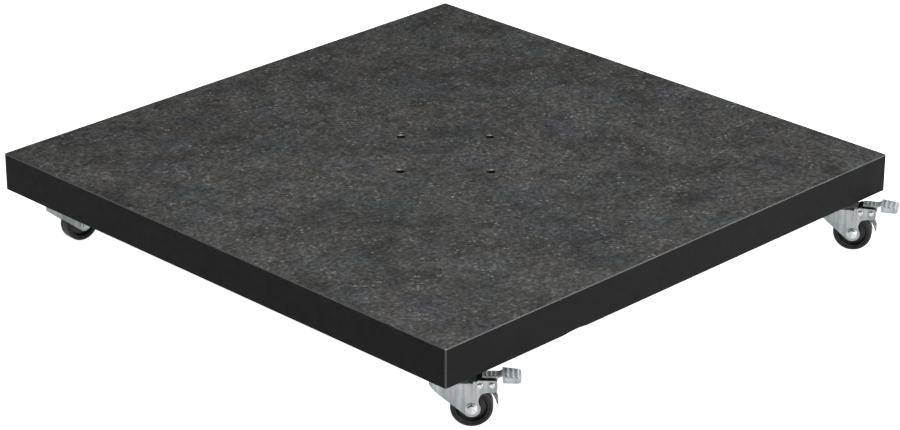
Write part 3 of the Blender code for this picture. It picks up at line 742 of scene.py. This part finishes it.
def kingpin():
    low, high = KINGPIN_LOW.z, KINGPIN_HIGH.z
    head, shank = KINGPIN_HEAD_RADIUS, KINGPIN_RADIUS
    rivet_top, head_underside = low + KINGPIN_RIVET_HEIGHT, high - KINGPIN_HEAD_HEIGHT
    dome = [(head * math.cos(a), low + KINGPIN_DOME_HEIGHT * (1 - math.sin(a)))
            for a in (math.radians(d) for d in (75, 60, 45, 30, 15, 0))]
    profile = [(0, low), *dome, (head, rivet_top), (shank, rivet_top), (shank, head_underside),
               (head, head_underside), (head, high), (0, high)]
    return shaded(turned(profile, 48), 50)


def ball_race():
    """Caged balls: the cage is a thin flat ring and every ball stands a little proud of it."""
    middle = (RACE_LOW.z + RACE_HIGH.z) / 2
    ball = (RACE_HIGH.z - RACE_LOW.z) / 2 * BALL_SHARE
    circle = RACE_HIGH.x - ball
    count = int(2 * math.pi * circle / (BALL_SPACING * ball))
    bm = bmesh.new()
    for i in range(count):
        x, y = polar(circle, 360 * i / count)
        bmesh.ops.create_uvsphere(bm, u_segments=16, v_segments=10, radius=ball,
                                  matrix=Matrix.Translation((x, y, middle)))
    balls = object_from(bm)
    reach, half = ball * CAGE_REACH, ball * CAGE_HALF_HEIGHT
    cage = turned([(circle - reach, middle - half), (circle + reach, middle - half),
                   (circle + reach, middle + half), (circle - reach, middle + half)], 96)
    return shaded(add(balls, cage), 50)


def fork_side():
    """The fork's side view: nose, slanting front edge, axle boss, waist, and the ears for the brake."""
    ear_end = PEDAL_PIVOT[0] + EAR_REACH
    ear_top = PEDAL_PIVOT[1] + EAR_RISE
    ear_bottom = PEDAL_PIVOT[1] - EAR_DROP
    roof_end = SHOE_PIVOT[0] - KNUCKLE_RADIUS - GAP
    nose = (-NOSE_REACH, ROOF_TOP - NOSE_DEPTH)
    to_nose = (nose[0] - AXLE[0], nose[1] - AXLE[1])
    spread = math.degrees(math.acos(BOSS_RADIUS / math.hypot(*to_nose)))
    tangent = math.degrees(math.atan2(to_nose[1], to_nose[0])) % 360 + spread
    waist = AXLE[0] + BOSS_RADIUS - WAIST
    waist_level = (AXLE[1] + ear_bottom) / 2
    boss = arc(BOSS_RADIUS, tangent, 370, 22, AXLE)
    back = rounded([boss[-1], (waist, waist_level - WAIST * 1.2), (waist, waist_level + WAIST / 2),
                    (waist + WAIST, ear_bottom - EAR_SWEEP), (waist + 3 * WAIST, ear_bottom - EAR_SWEEP / 4),
                    (ear_end, ear_bottom), (ear_end, ear_top), (roof_end + SHEET, ear_top),
                    (roof_end, ROOF_TOP)], SIDE_ROUND, 6, open_ends=True)
    return [(-NOSE_REACH, ROOF_TOP), nose] + boss + back[1:], roof_end, ear_end


def fork_shell(inset, front, back, bend, top, bottom):
    """Half of a pressed fork's volume: the plan narrows where the roof bends over into the legs."""
    rings = []
    levels = [(bend * (1 - math.sin(math.radians(a))), top - bend * (1 - math.cos(math.radians(a))))
              for a in (0, 18, 36, 54, 72, 90)]
    for narrow, level in levels + [(0.0, bottom)]:
        half = LEG_OUTSIDE - inset - narrow
        nose = arc(half, 90, 270, 24, (front + inset + narrow + half, 0.0))
        plan = [(back, half)] + nose + [(back, -half)]
        rings.append([(x, y, level) for x, y in plan])
    return loft(rings)


def pressed_fork():
    """Folded sheet with a drawn ring for the ball race on its roof and a raised pad at the axle."""
    side, roof_end, ear_end = fork_side()
    past_ears = ear_end + PAST
    body = prism(side, -THROUGH, THROUGH)
    outer = fork_shell(0.0, -NOSE_REACH, past_ears, ROOF_BEND, ROOF_TOP, FORK_LOW.z - PAST)
    ears = prism([(roof_end - EAR_ROOT, -LEG_OUTSIDE), (past_ears, -LEG_OUTSIDE),
                  (past_ears, LEG_OUTSIDE), (roof_end - EAR_ROOT, LEG_OUTSIDE)],
                 AXLE[1], ROOF_TOP + PAST, "Z")
    body = common(body, add(outer, ears))
    hollow = fork_shell(SHEET, -NOSE_REACH, past_ears + PAST, ROOF_BEND - SHEET, ROOF_TOP - SHEET,
                        FORK_LOW.z - 2 * PAST)
    slot = prism([(roof_end, -LEG_INSIDE), (past_ears + PAST, -LEG_INSIDE),
                  (past_ears + PAST, LEG_INSIDE), (roof_end, LEG_INSIDE)], ROOF_TOP - EAR_SLOT, 0.0, "Z")
    radius, lip = FORK_HIGH.y, CROWN_LIP
    crown = turned([(0, ROOF_TOP - SHEET / 2), (radius - CROWN_STEPS[0][0], ROOF_TOP - SHEET / 2),
                    *((radius - inset, ROOF_TOP + rise) for inset, rise in CROWN_STEPS),
                    (radius, CROWN_TOP - lip), (radius - lip / 3, CROWN_TOP - lip / 3),
                    (radius - lip, CROWN_TOP), (0, CROWN_TOP)], 72)
    bores = [rod(KINGPIN_BORE, -THROUGH, 0.0, 32), rod(AXLE_BORE, -THROUGH, THROUGH, 28, "Y", AXLE)]
    bores += [rod(RIVET_BORE, -THROUGH, THROUGH, 24, "Y", pivot) for pivot in (PEDAL_PIVOT, SHOE_PIVOT)]
    body = cut(add(cut(body, hollow), crown), slot, *bores)
    return shaded(softened(body, EDGE_SOFTNESS))


def tyre():
    outer, inner = WHEEL_RADIUS, WHEEL_RADIUS - TYRE_DEPTH
    half, corner = (TYRE_HIGH.y - TYRE_LOW.y) / 2, TYRE_SHOULDER
    shoulder = [(outer - corner + corner * math.sin(a), half - corner + corner * math.cos(a))
                for a in (math.radians(d) for d in range(0, 91, 15))]
    upper = [(inner, half - RIM_LIP), (inner + TYRE_BEAD, half), *shoulder, (outer, half / 3)]
    profile = upper + [(radius, -height) for radius, height in reversed(upper)]
    return shaded(turned(profile, 96, "Y", AXLE), 50)


def wheel_core():
    """A moulded centre: a raised lip at the tyre, a recessed web with a shallow step, and a hub."""
    rim, rim_half = WHEEL_RADIUS - CORE_DEPTH, (TYRE_HIGH.y - TYRE_LOW.y) / 2 - RIM_LIP
    hub_half = CORE_HIGH.y
    upper = [(0.0046, hub_half), (0.0080, hub_half), (0.0086, hub_half - 0.0006),
             (0.0090, 0.0040), (0.0098, 0.0031), (0.0140, 0.0027), (rim - 0.0040, 0.0029),
             (rim - 0.0028, 0.0040), (rim - 0.0020, rim_half - 0.0006), (rim - 0.0013, rim_half),
             (rim - 0.0004, rim_half), (rim, rim_half - 0.0006)]
    profile = upper + [(radius, -height) for radius, height in reversed(upper)]
    return shaded(turned(profile, 96, "Y", AXLE), 40)


def hex_fastener(low, high, along, centre, bore=0.0, chamfer_low=False):
    """A hexagon head or nut with its outer corners turned off at a slant."""
    reach, flat = HEX_ACROSS / math.sqrt(3), HEX_ACROSS / 2 * HEX_FLAT_SHARE
    body = prism(moved(arc(reach, 30, 330, 5), centre), low, high, along)
    if chamfer_low:
        near = reach * 1.02
        profile = [(0, low), (flat, low), (near, low + HEX_CHAMFER), (near, high - HEX_CHAMFER)]
    else:
        clear = reach * 1.2
        profile = [(0, low), (clear, low), (clear, high - HEX_CHAMFER * 1.5)]
    body = common(body, turned([*profile, (flat, high), (0, high)], 48, along, centre))
    if bore:
        body = cut(body, rod(bore, low - PAST, high + PAST, 32, along, centre))
    return body


def axle_bolt():
    low, high = caster_box("axle_bolt")
    seat, end = -LEG_OUTSIDE - GAP, high.y
    head = hex_fastener(low.y, seat, "Y", AXLE, chamfer_low=True)
    radius, back = FLANGE_RADIUS, seat - FLANGE_HEIGHT
    flange = turned([(0, back + 0.0001), (radius - 0.0020, back), (radius - 0.0004, back + 0.0002),
                     (radius, back + 0.0006), (radius, seat), (0, seat)], 48, "Y", AXLE)
    shank = turned([(0, back), (AXLE_RADIUS, back), (AXLE_RADIUS, end - AXLE_END_CHAMFER),
                    (AXLE_RADIUS - AXLE_END_CHAMFER, end), (0, end)], 32, "Y", AXLE)
    return shaded(add(head, flange, shank))


def axle_nut():
    low, high = caster_box("axle_nut")
    return shaded(hex_fastener(low.y, high.y, "Y", AXLE, bore=AXLE_NUT_BORE))


def axle_sleeve():
    low, high = caster_box("axle_sleeve")
    return shaded(turned([(AXLE_BORE, low.y), (AXLE_SLEEVE_RADIUS, low.y), (AXLE_SLEEVE_RADIUS, high.y),
                          (AXLE_BORE, high.y)], 32, "Y", AXLE))


def rivet(centre):
    """A short pin whose two ends are spread into low domes."""
    seat, radius = LEG_OUTSIDE + GAP, RIVET_HEAD_RADIUS
    low, high = caster_box("pedal_rivet")
    edge = seat + RIVET_HEAD_EDGE
    dome = [(radius * math.sin(a), edge + (high.y - edge) * math.cos(a))
            for a in (math.radians(d) for d in (0, 18, 36, 54, 72, 90))]
    upper = [*dome, (radius, seat), (RIVET_RADIUS, seat)]
    profile = upper + [(radius, -height) for radius, height in reversed(upper)]
    return shaded(turned(profile, 36, "Y", centre), 50)


def strip(path, thickness):
    """The outline of a bent sheet: the path is its underside and the sheet lies above it."""
    above = []
    for i, point in enumerate(path):
        before, after = path[max(i - 1, 0)], path[min(i + 1, len(path) - 1)]
        turns = []
        if i:
            turns.append(math.atan2(point[1] - before[1], point[0] - before[0]))
        if i < len(path) - 1:
            turns.append(math.atan2(after[1] - point[1], after[0] - point[0]))
        middle = sum(turns) / len(turns) + math.pi / 2
        reach = thickness / math.cos((turns[-1] - turns[0]) / 2)
        above.append((point[0] + reach * math.cos(middle), point[1] + reach * math.sin(middle)))
    return list(path) + above[::-1]


def brake_pedal():
    """A pressed lever: a ribbed pad with turned-down edges on a narrower neck with two cheeks."""
    slope = math.radians(PAD_SLOPE)
    foot, start = (NECK_BEND, NECK_RISE), (PAD_START, NECK_RISE + PAD_STEP_RISE)
    end = (start[0] + PAD_LENGTH * math.cos(slope), start[1] - PAD_LENGTH * math.sin(slope))
    half_pad, wide = PEDAL_HIGH.y, 0.02
    path = moved([(-NECK_BACK, foot[1]), foot, start, end], PEDAL_PIVOT)
    pedal = prism(strip(path, PEDAL_SHEET), TRIM - half_pad, half_pad - TRIM)
    pad_start, pad_end = path[2], path[3]
    pieces, beside = [], []
    neck_side = [(0, -THROUGH), (pad_start[0], -THROUGH), (pad_start[0], THROUGH), (0, THROUGH)]
    for side in (-1, 1):
        faces = sorted((side * NECK_HALF, side * (NECK_HALF - PEDAL_SHEET)))
        pieces.append(prism(moved(pedal_cheek(), PEDAL_PIVOT), *faces))
        faces = sorted((side * (NECK_HALF - TRIM), side * 2 * half_pad))
        beside.append(prism(neck_side, *faces))
    pedal = cut(pedal, *beside)
    pieces.append(pad_skirt(pad_start, pad_end, half_pad))
    reach = PEDAL_HIGH.x - TRIM
    plan = rounded([(0, -wide), (pad_start[0], -wide), (pad_start[0], -half_pad), (reach, -half_pad),
                    (reach, half_pad), (pad_start[0], half_pad), (pad_start[0], wide), (0, wide)],
                   PAD_CORNER, 8)
    rib_half = half_pad - RIB_INSET
    for share in RIB_SHARES:
        x = pad_start[0] + (pad_end[0] - pad_start[0]) * share
        z = pad_start[1] + (pad_end[1] - pad_start[1]) * share + PEDAL_SHEET
        rib = arc(RIB_RADIUS, 0, 180, 10, (x, z - RIB_RADIUS / 3))
        pieces.append(prism(rib, -rib_half, rib_half))
    ridge_half = NECK_HALF - RIDGE_INSET
    for back in NECK_RIDGES:
        ridge = arc(RIDGE_RADIUS, 0, 180, 8, (PEDAL_PIVOT[0] - back, path[0][1] + PEDAL_SHEET - RIDGE_SINK))
        pieces.append(prism(ridge, -ridge_half, ridge_half))
    pedal = add(pedal, *pieces)
    pedal = common(pedal, prism(plan, PEDAL_LOW.z - PAST, 0.0, "Z"))
    pedal = cut(pedal, rod(RIVET_BORE, -THROUGH, THROUGH, 24, "Y", PEDAL_PIVOT))
    return shaded(softened(pedal, PEDAL_SOFTNESS))


def pad_skirt(start, end, half):
    """The pad's turned-down edge: down both sides and round the free end, shallower there."""
    wall, lean = PEDAL_SHEET, PAD_FLANGE_LEAN
    block = prism([start, (start[0] + lean, start[1] - PAD_FLANGE_DEPTH),
                   (end[0], end[1] - PAD_FLANGE_DEPTH * PAD_END_SHARE), (end[0], end[1] + wall / 2),
                   (start[0] + lean / 2, start[1] + wall / 2)], -half, half)
    inner = rounded([(0, wall - half), (end[0] - wall, wall - half), (end[0] - wall, half - wall),
                     (0, half - wall)], PAD_CORNER - wall, 8)
    return cut(block, prism(inner, PEDAL_LOW.z - PAST, 0.0, "Z"))


def pedal_cheek():
    """Side plate round the rivet, with the cam lobe that reaches down to the shoe's back."""
    top = NECK_RISE + PEDAL_SHEET / 2
    to_axle = (AXLE[0] - PEDAL_PIVOT[0], AXLE[1] - PEDAL_PIVOT[1])
    inward = math.degrees(math.atan2(to_axle[1], to_axle[0])) % 360
    span, back = math.hypot(*to_axle), WHEEL_RADIUS + SHOE_GAP + SHOE_SHEET + GAP
    lobe = []
    for turn in (24, 18, 12, 6, 0, -6, -12):
        angle = math.radians(max(turn, 0))
        reach = span * math.cos(angle) - math.sqrt(back ** 2 - (span * math.sin(angle)) ** 2)
        lobe.append(polar(reach, inward + turn))
    outline = [(CHEEK_FRONT, top)] + arc(CHEEK_RADIUS, 0, -80, 8) + lobe
    return outline + arc(CHEEK_RADIUS, inward - 30, 180, 4) + [(CHEEK_BACK_INSET - NECK_BACK, top)]


def brake_shoe():
    """A curved tongue that follows the tread from its knuckle on the rivet."""
    inner, outer = WHEEL_RADIUS + SHOE_GAP, WHEEL_RADIUS + SHOE_GAP + SHOE_SHEET
    tongue = arc(outer, SHOE_START, SHOE_TIP, 28, AXLE) + arc(inner, SHOE_TIP, SHOE_START, 28, AXLE)
    half = SHOE_HIGH.y
    shoe = add(prism(tongue, -half, half), rod(KNUCKLE_RADIUS, -half, half, 36, "Y", SHOE_PIVOT))
    mark = (arc(outer + MARK_RISE, MARK_START, MARK_END, 16, AXLE)
            + arc(outer - MARK_SINK, MARK_END, MARK_START, 16, AXLE))
    shoe = add(shoe, prism(mark, -half * MARK_SHARE, half * MARK_SHARE))
    shoe = cut(shoe, rod(RIVET_BORE, -THROUGH, THROUGH, 24, "Y", SHOE_PIVOT))
    return shaded(softened(shoe, EDGE_SOFTNESS))


def plate_bolt():
    """An M6 hexagon bolt with a flat washer, head down, as if at the plate's centre."""
    seat = -GAP - PLATE_THICKNESS - SEAT_GAP
    foot, edge = seat - WASHER_THICKNESS, WASHER_RADIUS - WASHER_CHAMFER
    washer = turned([(WASHER_BORE, foot), (edge, foot), (WASHER_RADIUS, foot + WASHER_CHAMFER),
                     (WASHER_RADIUS, seat - WASHER_CHAMFER), (edge, seat), (WASHER_BORE, seat)], 40)
    head_top = foot - SEAT_GAP
    head = hex_fastener(head_top - BOLT_HEAD_HEIGHT, head_top, "Z", (0.0, 0.0), chamfer_low=True)
    shank = rod(BOLT_DIAMETER / 2, head_top - BOLT_OVERLAP, BOLT_GRIP, 24)
    bolt = add(head, shank)
    return shaded(washer), shaded(bolt)


def plate_bolts(look, washer_look):
    washer, bolt = plate_bolt()
    for pattern, material, name in ((washer, washer_look, "plate_washer"), (bolt, look, "plate_bolt")):
        pattern.data.materials.append(material)
        for corner in CORNERS:
            for number, (x, y) in enumerate(plate_bolt_places(corner), 1):
                copy = twin(pattern, f"{name}_{corner}_{number}")
                angle = TURN_PER_BOLT * number + TURN_PER_CASTER * len(corner)
                turn = Matrix.Rotation(math.radians(angle), 4, "Z")
                copy.matrix_world = Matrix.Translation((x, y, SLAB_LOW.z)) @ turn
                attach(copy, "base")
        bpy.data.objects.remove(pattern, do_unlink=True)


def casters():
    sheet, bright, dull = zinc("zinc_sheet", 0.24), zinc("zinc_bright", 0.44), steel("plain_steel", 0.40, 0.3)
    # The pedal's upper faces get a brighter, bluish, less metallic copy of the zinc than its sides: painted
    # highlight and painted reflection.
    pedal_painted_highlight_zinc = zinc("zinc_pedal_painted_highlight", 0.56, (0.0, 0.01, 0.04), (0.30, 0.42), 0.05, 0.25)
    # The shoe gets a far darker copy of the zinc plating than the fork: painted shade under the pedal,
    # against the tyre.
    shoe_painted_shade_zinc = zinc("zinc_shoe_painted_shade", 0.060, (0.0, 0.002, 0.004))
    copies(top_plate(), "pressed_plate", "base", "top_plate", sheet, square=True)
    copies(kingpin(), "riveted_kingpin", "base", "kingpin", dull, square=True)
    copies(ball_race(), "caged_balls", "fork", "ball_race", dull)
    copies(pressed_fork(), "pressed_fork", "fork", "fork", sheet)
    copies(axle_bolt(), "hex_axle_bolt", "fork", "axle_bolt", bright)
    copies(axle_nut(), "hex_axle_nut", "fork", "axle_nut", bright)
    copies(axle_sleeve(), "spacer_tube", "fork", "axle_sleeve", dull)
    copies(rivet(PEDAL_PIVOT), "domed_pedal_rivet", "fork", "pedal_rivet", bright)
    copies(rivet(SHOE_PIVOT), "domed_shoe_rivet", "fork", "shoe_rivet", bright)
    copies(tyre(), "moulded_tyre", "wheel", "tyre", rubber())
    copies(wheel_core(), "moulded_core", "wheel", "wheel_core", moulded_plastic())
    copies(brake_pedal(), "pressed_pedal", "pedal", "brake_pedal", pedal_painted_highlight_zinc,
           side_look=sheet)
    copies(brake_shoe(), "pressed_shoe", "shoe", "brake_shoe", shoe_painted_shade_zinc)
    plate_bolts(bright, sheet)


# Stage

CAMERA_DISTANCE = 3.8217
CAMERA_ELEVATION = 23.852
CAMERA_HEADING = 44.844
CAMERA_ROLL = 0.133
CAMERA_AIM = Vector((-0.1335, -0.1412, 0.0))
CAMERA_LENS = 124.8
SLAB_TOP_CENTRE = Vector((0, 0, SLAB_HIGH.z))
FLOOR_HALF, FLOOR_DEPTH = 30, 0.02
FLOOR_GLOW = 0.95
WORLD_LEVEL = 0.19


def camera():
    data = bpy.data.cameras.new("camera")
    data.lens = CAMERA_LENS
    data.sensor_width = 36
    data.clip_end = 100
    obj = bpy.data.objects.new("camera", data)
    bpy.context.scene.collection.objects.link(obj)
    up, along = math.radians(CAMERA_ELEVATION), math.radians(CAMERA_HEADING)
    forward = Vector((math.cos(up) * math.cos(along), math.cos(up) * math.sin(along), -math.sin(up)))
    obj.rotation_mode = "QUATERNION"
    roll = Matrix.Rotation(math.radians(CAMERA_ROLL), 3, "Z").to_quaternion()
    obj.rotation_quaternion = forward.to_track_quat("-Z", "Y") @ roll
    obj.location = SLAB_TOP_CENTRE + CAMERA_AIM - forward * CAMERA_DISTANCE
    bpy.context.scene.camera = obj


def area_light(name, place, aim, size, power):
    data = bpy.data.lights.new(name, "AREA")
    data.shape = "SQUARE"
    data.size = size
    data.energy = power
    obj = bpy.data.objects.new(name, data)
    bpy.context.scene.collection.objects.link(obj)
    obj.location = place
    obj.rotation_mode = "QUATERNION"
    obj.rotation_quaternion = (Vector(aim) - Vector(place)).to_track_quat("-Z", "Y")


def stage():
    look = Look("pale_floor")
    shade = look.ramp(look.noise(1.5, 2), (0.3, 0.86), (0.7, 0.9))
    half = FLOOR_HALF
    floor = prism([(-half, -half), (half, -half), (half, half), (-half, half)],
                  CAD_LOW.z - FLOOR_DEPTH, CAD_LOW.z, "Z")
    floor.name = "floor"
    floor.data.materials.append(look.finish(shade, 0.9, specular=0.0))
    look.shader.inputs["Emission Strength"].default_value = FLOOR_GLOW
    world = bpy.data.worlds.new("studio")
    world.use_nodes = True
    world.node_tree.nodes["Background"].inputs["Color"].default_value = (1.0, 1.0, 1.0, 1)
    world.node_tree.nodes["Background"].inputs["Strength"].default_value = WORLD_LEVEL
    bpy.context.scene.world = world
    area_light("overhead", (-0.10, -0.16, 1.35), (-0.05, -0.12, 0), 0.9, 18.5)
    area_light("right_front", (1.0, -3.3, 0.8), (0, 0, 0), 1.8, 118)
    bpy.context.scene.view_settings.view_transform = "Standard"


camera()
stage()
stone_slab()
threaded_sleeves()
casters()
